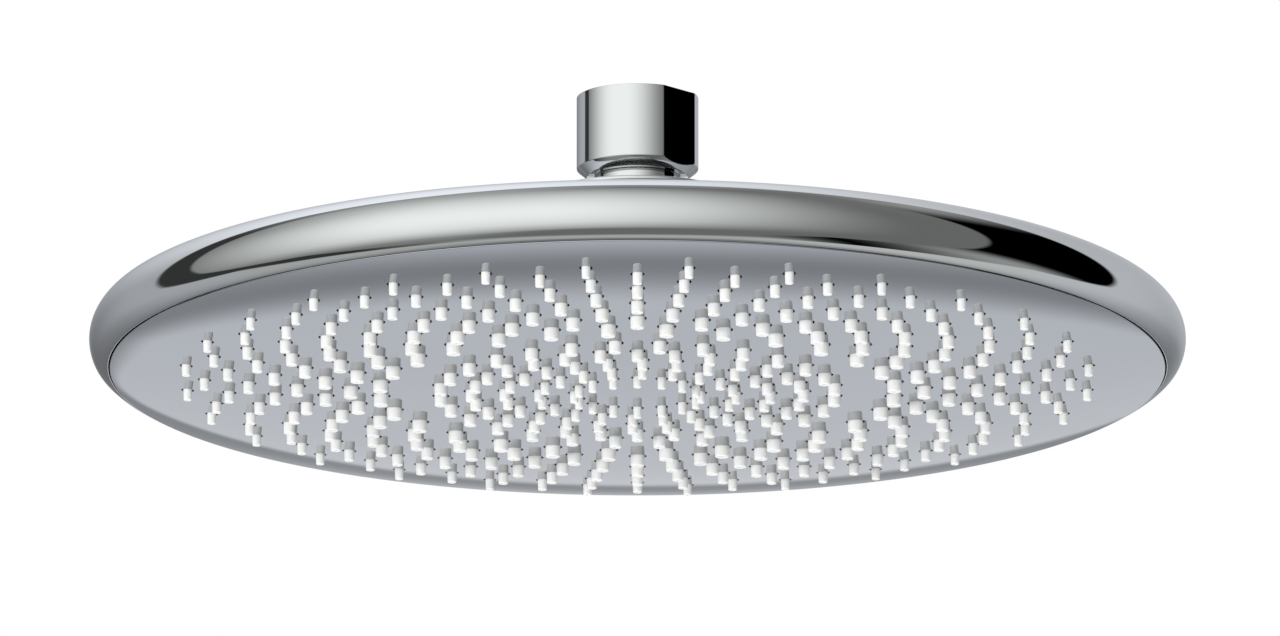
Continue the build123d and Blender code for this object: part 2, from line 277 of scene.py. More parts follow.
def finish_piece(piece: Object, body: Body, slot: Slot, *nodes: str) -> None:
    """Puts a finished piece on its body, in the place of its solids.

    Args:
        piece: The piece.
        body: The body that it moves with.
        slot: The record's slot of its finish; not used.
        nodes: The solids that it stands for.
    """
    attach(piece, body.value)
    if nodes:
        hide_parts(*nodes)
    log.info("%s: %d faces on %s", piece.name, len(piece.data.polygons), body.value)


# Node trees


class Graph:
    """A node tree with short ways to add nodes and feed their sockets."""

    def __init__(self, tree: NodeTree) -> None:
        """Takes the tree and empties it."""
        self.tree = tree
        tree.nodes.clear()

    def add(self, kind: str, **settings: object) -> Node:
        """Adds a node and sets its properties.

        Args:
            kind: The node's type name.
            settings: Properties by name.

        Returns:
            The node.
        """
        node = self.tree.nodes.new(kind)
        for name, value in settings.items():
            setattr(node, name, value)
        return node

    def feed(self, socket: NodeSocket, value: Fed) -> None:
        """Links a socket to another, or sets its own value.

        Args:
            socket: The socket that is fed.
            value: Another socket, a number or a colour.
        """
        if isinstance(value, NodeSocket):
            self.tree.links.new(value, socket)
        elif isinstance(value, tuple) and len(socket.default_value) == 4:
            socket.default_value = (*value, 1.0)
        else:
            socket.default_value = value

    def math(self, operation: str, *values: Fed) -> NodeSocket:
        """One step of arithmetic.

        Args:
            operation: The operation's name.
            values: Its operands, sockets or numbers.

        Returns:
            The result's socket.
        """
        node = self.add("ShaderNodeMath", operation=operation)
        for socket, value in zip(node.inputs, values):
            self.feed(socket, value)
        return node.outputs[0]

    def times(self, first: Fed, second: Fed) -> NodeSocket:
        """The product of two numbers."""
        return self.math("MULTIPLY", first, second)

    def plus(self, first: Fed, second: Fed) -> NodeSocket:
        """The sum of two numbers."""
        return self.math("ADD", first, second)

    def span(self, value: Fed, low: float, high: float, start: float = 0.0, end: float = 1.0) -> NodeSocket:
        """A smooth step from one value to another.

        Args:
            value: What the step follows.
            low: Where it begins.
            high: Where it ends.
            start: Result at and below the beginning.
            end: Result at and past the end.

        Returns:
            The result's socket.
        """
        node = self.add("ShaderNodeMapRange", interpolation_type="SMOOTHSTEP")
        for name, number in zip(("From Min", "From Max", "To Min", "To Max"), (low, high, start, end)):
            node.inputs[name].default_value = number
        self.feed(node.inputs["Value"], value)
        return node.outputs["Result"]

    def blend(self, share: Fed, first: Fed, second: Fed) -> NodeSocket:
        """A mix of two numbers.

        Args:
            share: The second one's share.
            first: The first number.
            second: The second number.

        Returns:
            The result's socket.
        """
        node = self.add("ShaderNodeMix", data_type="FLOAT")
        for socket, value in zip((node.inputs[0], node.inputs[2], node.inputs[3]), (share, first, second)):
            self.feed(socket, value)
        return node.outputs[0]

    def blend_colours(self, share: Fed, first: Fed, second: Fed) -> NodeSocket:
        """A mix of two colours.

        Args:
            share: The second one's share.
            first: The first colour.
            second: The second colour.

        Returns:
            The result's socket.
        """
        node = self.add("ShaderNodeMix", data_type="RGBA")
        for socket, value in zip((node.inputs[0], node.inputs[6], node.inputs[7]), (share, first, second)):
            self.feed(socket, value)
        return node.outputs[2]

    def tinted(self, tone: Fed, tint: Fed) -> NodeSocket:
        """A grey tone in a tint.

        Args:
            tone: The tone.
            tint: The colour that it is multiplied by.

        Returns:
            The colour's socket.
        """
        product = self.blend_colours(1.0, tone, tint)
        product.node.blend_type = "MULTIPLY"
        return product

    def noise(self, scale: float, detail: float, place: NodeSocket) -> NodeSocket:
        """A noise pattern on a place in the object.

        Args:
            scale: Repeats in a metre.
            detail: Octaves.
            place: The coordinates.

        Returns:
            The pattern's socket, from 0 to 1.
        """
        node = self.add("ShaderNodeTexNoise")
        node.inputs["Scale"].default_value = scale
        node.inputs["Detail"].default_value = detail
        self.feed(node.inputs["Vector"], place)
        return node.outputs["Fac"]


class SurfaceEffects:
    """Shader node groups that several finishes share: the skin of plated metal and of moulded parts."""

    COLOUR_INPUTS = (("Deep", "NodeSocketColor"), ("Bright", "NodeSocketColor"))
    ROUGHNESS_INPUTS = (("Smooth", "NodeSocketFloat"), ("Dull", "NodeSocketFloat"))
    OUTPUTS = (("Colour", "NodeSocketColor"), ("Roughness", "NodeSocketFloat"), ("Height", "NodeSocketFloat"))
    CLOUD_DETAIL = 2.0
    RIPPLE_DETAIL = 1.0
    GRAIN_DETAIL = 3.0
    CLOUD_RANGE = (0.3, 0.7)
    GRAIN_IN_GLOSS = 0.4
    GRAIN_IN_RELIEF = 0.25

    def __init__(self) -> None:
        """Builds the groups."""
        self.plated_skin = self._group("plated_skin", cloud=14.0, ripple=160.0, speck=900.0)
        self.moulded_skin = self._group("moulded_skin", cloud=45.0, ripple=700.0, speck=2600.0)

    def _group(self, name: str, cloud: float, ripple: float, speck: float) -> NodeTree:
        """Builds one group.

        Args:
            name: The group's name.
            cloud: Scale of the slow change of colour.
            ripple: Scale of the surface's waviness.
            speck: Scale of the fine grain.

        Returns:
            The group's tree.
        """
        tree = bpy.data.node_groups.new(name, "ShaderNodeTree")
        graph = Graph(tree)
        for label, kind in self.COLOUR_INPUTS + self.ROUGHNESS_INPUTS:
            tree.interface.new_socket(label, in_out="INPUT", socket_type=kind)
        for label, kind in self.OUTPUTS:
            tree.interface.new_socket(label, in_out="OUTPUT", socket_type=kind)
        taken = graph.add("NodeGroupInput").outputs
        given = graph.add("NodeGroupOutput").inputs
        place = graph.add("ShaderNodeTexCoord").outputs["Object"]
        slow = graph.noise(cloud, self.CLOUD_DETAIL, place)
        waves = graph.noise(ripple, self.RIPPLE_DETAIL, place)
        grain = graph.noise(speck, self.GRAIN_DETAIL, place)
        shade = graph.span(slow, *self.CLOUD_RANGE)
        graph.feed(given["Colour"], graph.blend_colours(shade, taken["Deep"], taken["Bright"]))
        patchy = graph.blend(self.GRAIN_IN_GLOSS, shade, grain)
        graph.feed(given["Roughness"], graph.blend(patchy, taken["Smooth"], taken["Dull"]))
        graph.feed(given["Height"], graph.blend(self.GRAIN_IN_RELIEF, waves, grain))
        return tree


@dataclass(frozen=True)
class Finish:
    """A finish whose colour, gloss and fine relief come from a shared surface effect."""

    name: str
    deep: Colour
    bright: Colour
    smooth: float
    dull: float
    relief: float
    metallic: float = 0.0
    edge_tint: float = 1.0
    subsurface: float = 0.0
    scatter: Colour = (1.0, 0.9, 0.8)

    def make(self, effect: NodeTree) -> Material:
        """Builds the material.

        Args:
            effect: The surface effect's node group.

        Returns:
            The material.
        """
        material = bpy.data.materials.new(self.name)
        material.use_nodes = True
        graph = Graph(material.node_tree)
        skin = graph.add("ShaderNodeGroup", node_tree=effect)
        given = {"Deep": self.deep, "Bright": self.bright, "Smooth": self.smooth, "Dull": self.dull}
        for label, value in given.items():
            graph.feed(skin.inputs[label], value)
        bump = graph.add("ShaderNodeBump")
        bump.inputs["Strength"].default_value = 1.0
        bump.inputs["Distance"].default_value = self.relief * MM
        graph.feed(bump.inputs["Height"], skin.outputs["Height"])
        shader = graph.add("ShaderNodeBsdfPrincipled")
        shader.inputs["Metallic"].default_value = self.metallic
        shader.inputs["Specular Tint"].default_value = (self.edge_tint,) * 3 + (1.0,)
        if self.subsurface:
            shader.inputs["Subsurface Weight"].default_value = 1.0
            shader.inputs["Subsurface Scale"].default_value = self.subsurface * MM
            shader.inputs["Subsurface Radius"].default_value = self.scatter
        graph.feed(shader.inputs["Base Color"], skin.outputs["Colour"])
        graph.feed(shader.inputs["Roughness"], skin.outputs["Roughness"])
        graph.feed(shader.inputs["Normal"], bump.outputs["Normal"])
        output = graph.add("ShaderNodeOutputMaterial")
        graph.feed(output.inputs["Surface"], shader.outputs["BSDF"])
        return material


class FinishBook:
    """Every finish of the shower head, made once."""

    SHELL = Finish("shell_chrome", (0.60, 0.612, 0.61), (0.63, 0.642, 0.64), 0.02, 0.04, 0.0004, 1.0, 0.82)
    INLET = Finish("inlet_chrome", (0.60, 0.612, 0.61), (0.63, 0.642, 0.64), 0.02, 0.04, 0.0004, 1.0, 0.82)
    PLATE = Finish("plate_chrome", (0.376, 0.391, 0.414), (0.392, 0.407, 0.43), 0.015, 0.03, 0.0003, 1.0, 0.8)
    # Hole walls: near-black painted shade, which darkens the narrow ring gaps round the nozzles.
    HOLE_PAINTED_SHADE = Finish("hole_wall_painted_shade", (0.03, 0.03, 0.032), (0.05, 0.05, 0.052), 0.4, 0.6, 0.002, 1.0)
    SILICONE = Finish(
        "nozzle_silicone", (0.86, 0.87, 0.86), (0.92, 0.925, 0.915), 0.42, 0.58, 0.006, subsurface=0.25
    )
    RUBBER = Finish("seal_rubber", (0.018, 0.018, 0.02), (0.035, 0.035, 0.037), 0.5, 0.7, 0.02)
    SCREEN = Finish("filter_steel", (0.42, 0.43, 0.44), (0.55, 0.56, 0.57), 0.22, 0.34, 0.004, 1.0)
    SCREW = Finish("screw_steel", (0.45, 0.46, 0.47), (0.56, 0.57, 0.58), 0.2, 0.34, 0.004, 1.0)
    REGULATOR = Finish("regulator_plastic", (0.55, 0.6, 0.63), (0.63, 0.67, 0.7), 0.38, 0.5, 0.006)
    BEARING = Finish("bearing_plastic", (0.19, 0.19, 0.2), (0.24, 0.24, 0.25), 0.28, 0.42, 0.006)
    WATERWAY = Finish("waterway_plastic", (0.065, 0.068, 0.072), (0.095, 0.098, 0.102), 0.42, 0.56, 0.01)
    NODES = {
        "stem_oring": RUBBER,
        "inlet_washer": RUBBER,
        "regulator_ring": RUBBER,
        "ball_seal": RUBBER,
        "flow_regulator": REGULATOR,
        "ball_liner": BEARING,
        "seal_washer": BEARING,
        "waterway_plate": WATERWAY,
        "shell_screws": SCREW,
    }

    def __init__(self) -> None:
        """Builds the shared effects, and starts with no material."""
        self.effects = SurfaceEffects()
        self.made: dict[str, Material] = {}

    def material(self, finish: Finish) -> Material:
        """The finish's material, built when it is first asked for.

        Args:
            finish: The finish.

        Returns:
            The material.
        """
        if finish.name not in self.made:
            plated = finish.metallic > 0
            effect = self.effects.plated_skin if plated else self.effects.moulded_skin
            self.made[finish.name] = finish.make(effect)
        return self.made[finish.name]

    def dress(self, piece: Object, *finishes: Finish) -> None:
        """Gives a piece its finishes.

        Args:
            piece: The piece.
            finishes: The finishes, in the order of its material slots.
        """
        piece.data.materials.clear()
        for finish in finishes:
            piece.data.materials.append(self.material(finish))

    def dress_solids(self) -> None:
        """Gives the solids that stay in view or inside their finishes."""
        for name, finish in self.NODES.items():
            self.dress(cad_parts[name], finish)
            log.info("%s: dressed in %s", name, finish.name)


# The pieces


@dataclass
class NozzleRing:
    """One ring of nozzles on the spray face."""

    radius: float
    count: int
    turn: float
    nozzle: float

    def first_place(self) -> Point:
        """X and Y of the ring's first nozzle, counted from the front."""
        return (self.radius * sin(radians(self.turn)), -self.radius * cos(radians(self.turn)))


@dataclass
class SprayFace:
    """The plate's dome and the rings of nozzles on it, which the plate and the mat share."""

    dome: float = 1740.0
    outer_dome: float = 590.0
    dome_turn: float = 75.0
    ring_pitch_loss: float = 0.258
    inner_first: float = 14.42
    inner_pitch: float = 8.06
    inner_nozzle: float = 2.17
    inner_gain: float = 0.245
    inner_counts: tuple[int, ...] = (16, 20, 24, 28, 28)
    inner_turns: tuple[float, ...] = (0.0, 2.9, 2.1, 0.0, 180 / 28)
    outer_first: float = 58.86
    outer_pitch: float = 6.46
    outer_nozzle: float = 3.62
    outer_loss: float = 0.175
    outer_count: int = 28
    outer_rings: int = 9

    def __post_init__(self) -> None:
        """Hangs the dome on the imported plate's lowest point."""
        self.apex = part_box("face_plate")[0].z / MM
        self.slope = asin(self.dome_turn / self.dome)
        self.outer_radius = self.dome_turn - self.outer_dome * sin(self.slope)
        self.centre = self.apex + self.dome
        self.outer_centre = self.centre - (self.dome - self.outer_dome) * cos(self.slope)

    def level(self, radius: float, rise: float = 0.0) -> float:
        """Height of the dome, or of the face that lies a rise above it.

        Args:
            radius: Distance from the axis.
            rise: Height of the face above the dome.

        Returns:
            The level.
        """
        if radius <= (self.dome - rise) * sin(self.slope):
            return self.centre - sqrt((self.dome - rise) ** 2 - radius**2)
        return self.outer_centre - sqrt((self.outer_dome - rise) ** 2 - (radius - self.outer_radius) ** 2)

    def normal(self, place: Vector) -> Vector:
        """The dome's outward normal.

        Args:
            place: A place on the dome, in metres.

        Returns:
            The normal there.
        """
        radius = hypot(place.x, place.y) / MM
        if radius < MERGE_DISTANCE:
            return Vector((0.0, 0.0, -1.0))
        inside = radius <= self.dome_turn
        angle = asin(radius / self.dome if inside else (radius - self.outer_radius) / self.outer_dome)
        outwards = Vector((place.x, place.y, 0.0)).normalized()
        return outwards * sin(angle) - Vector((0.0, 0.0, cos(angle)))

    def arc(self, start: float, end: float, rise: float, steps: int) -> list[Point]:
        """Points of the dome, or of the face a rise above it, between two radii."""
        radii = [start + (end - start) * i / steps for i in range(steps + 1)]
        return [(radius, self.level(radius, rise)) for radius in radii]

    def rings(self) -> Iterator[NozzleRing]:
        """The rings of nozzles.

        Yields:
            Each ring, from the middle outwards.
        """
        radius = self.inner_first
        for i, (count, turn) in enumerate(zip(self.inner_counts, self.inner_turns)):
            yield NozzleRing(radius, count, turn, self.inner_nozzle + i * self.inner_gain)
            radius += self.inner_pitch - i * self.ring_pitch_loss
        radius = self.outer_first
        for i in range(self.outer_rings):
            turn = 0.0 if i % 2 else 180 / self.outer_count
            yield NozzleRing(radius, self.outer_count, turn, self.outer_nozzle - i * self.outer_loss)
            radius += self.outer_pitch - i * self.ring_pitch_loss


@dataclass
class FacePlate:
    """The domed mirror plate with a round hole for every nozzle, and the skirt behind its edge."""

    face: SprayFace
    thickness: float = 2.2
    edge_round: float = 0.12
    edge_inset: float = 0.1
    edge_start: float = -86.0
    edge_steps: int = 8
    skirt_inset: float = 2.8
    skirt_wall: float = 2.2
    skirt_fillet: float = 0.4
    skirt_round: float = 0.2
    fillet_room: float = 1.0
    hook_count: int = 8
    hook_width: float = 8.0
    hook_wall: float = 1.6
    hook_height: float = 1.5
    hook_barb: float = 1.2
    hook_inset: float = 0.1
    hook_root: float = 2.0
    hook_nose: float = 1.4
    hole_gap: float = 0.4
    cut_below: float = 2.0
    cut_above: float = 5.0
    facing_down: float = -0.98
    segments: int = 192
    dome_steps: int = 48
    hole_sides: int = 20

    def build(self, book: FinishBook) -> Object:
        """Turns the plate, adds its hooks and cuts its holes.

        Args:
            book: The finishes.

        Returns:
            The plate.
        """
        plate = turned("spray_plate", self._profile(), self.segments)
        book.dress(plate, FinishBook.PLATE)
        combine(plate, self._hooks(), Join.UNITE)
        holes = self._holes()
        # The cutters carry the painted shade finish onto the hole walls, which darkens the gaps round the
        # nozzles.
        book.dress(holes, FinishBook.HOLE_PAINTED_SHADE)
        combine(plate, holes, Join.CUT)
        smooth(plate)
        self._mirror_normals(plate)
        finish_piece(plate, Body.HEAD, Slot.PLATE_CHROME, "face_plate")
        return plate

    @property
    def skirt_top(self) -> float:
        """Level of the skirt's top, below the hooks' heads."""
        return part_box("face_plate")[1].z / MM - 2 * self.hook_height

    def _profile(self) -> list[Point]:
        """The plate's half section with its skirt.

        Returns:
            The points, from the dome's apex out to the edge and back to the axis behind.
        """
        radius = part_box("face_plate")[1].x / MM - self.edge_inset
        flat = radius - self.edge_round
        skirt_outer = radius - self.skirt_inset
        skirt_inner = skirt_outer - self.skirt_wall
        edge_centre = (flat, self.face.level(flat) + self.edge_round)
        back = [
            (radius, self.face.level(radius, self.thickness), 0.0),
            (skirt_outer, self.face.level(skirt_outer, self.thickness), self.skirt_fillet),
            (skirt_outer, self.skirt_top, self.skirt_round),
            (skirt_inner, self.skirt_top, self.skirt_round),
            (skirt_inner, self.face.level(skirt_inner, self.thickness), self.skirt_fillet),
            (0.0, self.face.level(0.0, self.thickness), 0.0),
        ]
        return [
            *self.face.arc(0.0, flat, 0.0, self.dome_steps),
            *arc(edge_centre, (self.edge_round,) * 2, self.edge_start, 0.0, self.edge_steps),
            *eased(back)[:-1],
            *self.face.arc(skirt_inner - self.fillet_room, 0.0, self.thickness, self.dome_steps),
        ]

    def _hooks(self) -> Object:
        """Models one snap hook on the skirt, midway between two screws, and copies it round.

        Returns:
            All the hooks.
        """
        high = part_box("face_plate")[1]
        outer = high.x / MM - self.skirt_inset - self.hook_inset
        top = high.z / MM
        stem = (outer - self.hook_wall, self.skirt_top - self.hook_root)
        barb = (outer - self.hook_wall - self.hook_barb, top - self.hook_nose)
        turn = pi / self.hook_count
        blocks = []
        for inner, low in (stem, barb):
            deselect()
            middle = ((inner + outer) / 2 * MM, 0.0, (low + top) / 2 * MM)
            size = ((outer - inner) * MM, self.hook_width * MM, (top - low) * MM)
            bpy.ops.mesh.primitive_cube_add(size=1.0, location=middle)
            bpy.ops.transform.resize(value=size)
            bpy.ops.transform.rotate(value=-turn, orient_axis="Z", center_override=(0, 0, 0))
            bpy.ops.object.transform_apply(location=True, rotation=True, scale=True)
            blocks.append(bpy.context.object)
        combine(blocks[0], blocks[1], Join.UNITE)
        repeat_round(blocks[0], self.hook_count)
        return blocks[0]

    def _holes(self) -> Object:
        """Models round cutters, one for every nozzle.

        Returns:
            All the cutters.
        """
        cutters = []
        for ring in self.face.rings():
            radius = ring.nozzle / 2 + self.hole_gap
            level = self.face.level(ring.radius)
            low, high = level - self.cut_below, level + self.cut_above
            outline = [(0.0, low), (radius, low), (radius, high), (0.0, high)]
            cutter = turned("hole", outline, self.hole_sides, ring.first_place())
            repeat_round(cutter, ring.count)
            cutters.append(cutter)
        return joined(cutters, "holes")

    def _mirror_normals(self, plate: Object) -> None:
        """Gives the face between the holes the dome's own normals, so that it mirrors without a ripple.

        Args:
            plate: The plate, with its holes cut.
        """
        mesh = plate.data
        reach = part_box("face_plate")[1].x / MM - self.edge_inset - self.edge_round
        normals = [Vector(corner.vector) for corner in mesh.corner_normals]
        for polygon in mesh.polygons:
            inside = hypot(polygon.center.x, polygon.center.y) / MM < reach
            below = polygon.normal.z < self.facing_down
            if polygon.material_index == 0 and inside and below:
                for corner in polygon.loop_indices:
                    place = mesh.vertices[mesh.loops[corner].vertex_index].co
                    normals[corner] = self.face.normal(place)
        mesh.normals_split_custom_set(normals)


@dataclass
class NozzleMat:
    """The silicone mat behind the plate, with a bead round its edge and a bored nozzle in every hole."""

    face: SprayFace
    rise: float = 2.3
    thickness: float = 1.2
    bead_width: float = 2.4
    bead_height: float = 2.4
    bead_outer: float = 1.0
    bead_inner: float = 0.8
    bead_round: float = 0.5
    stand: float = 2.4
    taper: float = 1.8
    tip_round: float = 0.13
    tip_dish: float = 0.03
    bore: float = 0.36
    bore_depth: float = 1.3
    bore_narrowing: float = 0.8
    segments: int = 128
    under_steps: int = 24
    upper_steps: int = 20
    nozzle_sides: int = 12

    def build(self, book: FinishBook) -> Object:
        """Turns the sheet and fuses all the nozzles to it.

        Args:
            book: The finishes.

        Returns:
            The mat.
        """
        mat = turned("nozzle_field", self._sheet(), self.segments)
        nozzles = []
        for ring in self.face.rings():
            nozzle = turned("nozzle", self._nozzle(ring), self.nozzle_sides, ring.first_place())
            repeat_round(nozzle, ring.count)
            nozzles.append(nozzle)
        combine(mat, joined(nozzles, "nozzles"), Join.UNITE)
        smooth(mat)
        book.dress(mat, FinishBook.SILICONE)
        finish_piece(mat, Body.HEAD, Slot.NOZZLE_SILICONE, "nozzle_mat")
        return mat

    def _sheet(self) -> list[Point]:
        """The sheet's half section with its bead.

        Returns:
            The points, from the axis along the underside and back along the top.
        """
        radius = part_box("nozzle_mat")[1].x / MM
        top = self.rise + self.thickness
        inner = radius - self.bead_width
        crest = self.face.level(radius, self.rise) + self.bead_height
        bead = [
            (radius, crest - self.bead_outer, 0.0),
            (radius, crest, self.bead_round),
            (inner, crest, self.bead_round),
            (inner, crest - self.bead_inner, 0.0),
        ]
        return [
            *self.face.arc(0.0, radius, self.rise, self.under_steps),
            *eased(bead),
            *self.face.arc(inner, 0.0, top, self.upper_steps),
        ]

    def _nozzle(self, ring: NozzleRing) -> list[Point]:
        """A tapered nozzle's half section: wall, rounded tip edge, tip face and spray bore.

        Args:
            ring: The nozzle's ring.

        Returns:
            The points, from the root to the bore's end.
        """
        root = self.face.level(ring.radius, self.rise + self.thickness / 2)
        tip = self.face.level(ring.radius) - self.stand
        wide = ring.nozzle / 2
        narrow = wide - (root - tip) * tan(radians(self.taper))
        return [
            (0.0, root),
            (wide, root),
            (narrow, tip + self.tip_round),
            (narrow - self.tip_round, tip),
            (self.bore, tip + self.tip_dish),
            (self.bore * self.bore_narrowing, tip + self.bore_depth),
            (0.0, tip + self.bore_depth),
        ]


@dataclass
class BodyShell:
    """The chromed bell: a boss round the neck, a hollow flank and a round rim that turns in to the plate."""

    opening: float = 12.9
    opening_round: float = 0.5
    boss_radius: float = 15.5
    boss_round: float = 16.0
    ledge: float = 23.3
    ledge_drop: float = 1.2
    ledge_round: float = 0.35
    ledge_span: float = 1.0
    wall: float = 2.4
    rim_round: float = 8.0
    tuck_round: float = 5.0
    tuck_turn: float = 24.0
    lip_round: float = 10.0
    lip_turn: float = 45.0
    mouth_wall: float = 4.1
    mouth_edge: float = 0.12
    mouth_reach: float = 0.3
    mouth_depth: float = 2.0
    screw_count: int = 8
    screw_circle: float = 111.8
    screw_hole: float = 1.5
    screw_boss: float = 3.5
    screw_grip: float = 4.0
    screw_boss_sink: float = 0.9
    screw_hole_sink: float = 0.5
    screw_boss_sides: int = 16
    segments: int = 256
    flank_steps: int = 40
    rim_steps: int = 44
    tuck_steps: int = 10
    lip_steps: int = 4
    hollow_steps: int = 10
    roof_steps: int = 24
    crown_steps: int = 8

    def __post_init__(self) -> None:
        """Hangs the centres of the bell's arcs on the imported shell's box."""
        low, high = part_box("body_shell")
        self.top = high.z / MM
        self.lip_low = low.z / MM
        radius = high.x / MM
        mouth = radius - self.mouth_wall
        rim = Vector((radius - self.rim_round, 0.0))
        tuck = rim + self._spoke(self.rim_round - self.tuck_round, -self.tuck_turn)
        lip = tuck + self._spoke(self.tuck_round - self.lip_round, -self.lip_turn)
        mouth_turn = degrees(acos((mouth - lip.x) / self.lip_round))
        rise = Vector((0.0, self.lip_low - (lip + self._spoke(self.lip_round, -mouth_turn)).y))
        self.rim, self.tuck, self.lip = rim + rise, tuck + rise, lip + rise
        self.mouth = mouth - self.mouth_reach
        drop = self.top - self.rim.y - self.rim_round
        span = self.rim.x - self.boss_radius
        reach = (span**2 + drop**2) / (2 * drop)
        self.slope = degrees(asin(span / reach))
        self.flank = reach - self.boss_round
        self.under = self.flank + self.wall
        self.bell = (self.rim.x, self.rim.y + self.rim_round + self.flank)

    def build(self, book: FinishBook) -> Object:
        """Turns the bell and fuses the screw bosses to its inside.

        Args:
            book: The finishes.

        Returns:
            The shell.
        """
        shell = turned("bell_shell", [*self._outside(), *self._inside()], self.segments)
        combine(shell, self._screw_bosses(), Join.UNITE)
        smooth(shell)
        book.dress(shell, FinishBook.SHELL)
        finish_piece(shell, Body.HEAD, Slot.SHELL_CHROME, "body_shell")
        return shell

    def _outside(self) -> list[Point]:
        """The bell's outside: its opening, the boss, the flank, the rim and the mouth's edge.

        Returns:
            The points, from the opening to the mouth.
        """
        ledge_turn = degrees(asin((self.rim.x - self.ledge) / self.flank))
        ledge_foot = self.bell[1] - self.flank * cos(radians(ledge_turn))
        flank_start = self.ledge_span - 90.0 - ledge_turn
        flank = arc(self.bell, (self.flank,) * 2, flank_start, -90.0, self.flank_steps)
        boss = [
            (self.opening, self.top - self.wall, 0.0),
            (self.opening, self.top, self.opening_round),
            (self.boss_radius, self.top, 0.0),
            (self.ledge, self.top - self.ledge_drop, self.ledge_round),
            (self.ledge, ledge_foot, self.ledge_round),
            (*flank[0], 0.0),
        ]
        mouth_turn = degrees(acos((self.mouth - self.lip.x) / self.lip_round))
        lip = arc(self.lip, (self.lip_round,) * 2, -self.lip_turn, -mouth_turn, self.lip_steps)
        mouth = [
            (*lip[-2], 0.0),
            (*lip[-1], self.mouth_edge),
            (self.mouth, self.lip_low + self.mouth_depth, 0.0),
        ]
        return [
            *eased(boss),
            *flank[1:],
            *arc(self.rim, (self.rim_round,) * 2, 90.0, -self.tuck_turn, self.rim_steps)[1:],
            *arc(self.tuck, (self.tuck_round,) * 2, -self.tuck_turn, -self.lip_turn, self.tuck_steps)[1:],
            *lip[1:-2],
            *eased(mouth)[:-1],
        ]

    def _inside(self) -> list[Point]:
        """The bell's inside, one wall behind its outside.

        Returns:
            The points, from the mouth back to the opening.
        """
        hollow = self.rim_round - self.wall
        corner = degrees(acos((self.mouth - self.rim.x) / hollow))
        boss = (self.boss_radius, self.top - self.boss_round)
        crown = self.boss_round - self.wall
        return [
            *arc(self.rim, (hollow,) * 2, corner, 90.0, self.hollow_steps),
            *arc(self.bell, (self.under,) * 2, -90.0, -90.0 - self.slope, self.roof_steps)[1:],
            *arc(boss, (crown,) * 2, 90.0 - self.slope, 90.0, self.crown_steps)[1:],
            (self.opening, self.top - self.wall),
        ]

    @staticmethod
    def _spoke(length: float, angle: float) -> Vector:
        """A step in the half section, at an angle from outwards towards upwards."""
        return Vector((length * cos(radians(angle)), length * sin(radians(angle))))

    def _screw_bosses(self) -> Object:
        """Models the bored boss that a screw goes up into, and copies it round.

        Returns:
            All the bosses.
        """
        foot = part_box("waterway_plate")[0].z / MM
        low = max(foot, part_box("shell_screws")[1].z / MM - self.screw_grip)
        roof = self.bell[1] - sqrt(self.under**2 - (self.rim.x - self.screw_circle) ** 2)
        outline = [
            (self.screw_hole, low),
            (self.screw_boss, low),
            (self.screw_boss, roof + self.screw_boss_sink),
            (0.0, roof + self.screw_boss_sink),
            (0.0, roof + self.screw_hole_sink),
            (self.screw_hole, roof + self.screw_hole_sink),
            (self.screw_hole, low),
        ]
        boss = turned("screw_boss", outline, self.screw_boss_sides, (self.screw_circle, 0.0))
        repeat_round(boss, self.screw_count)
        return boss


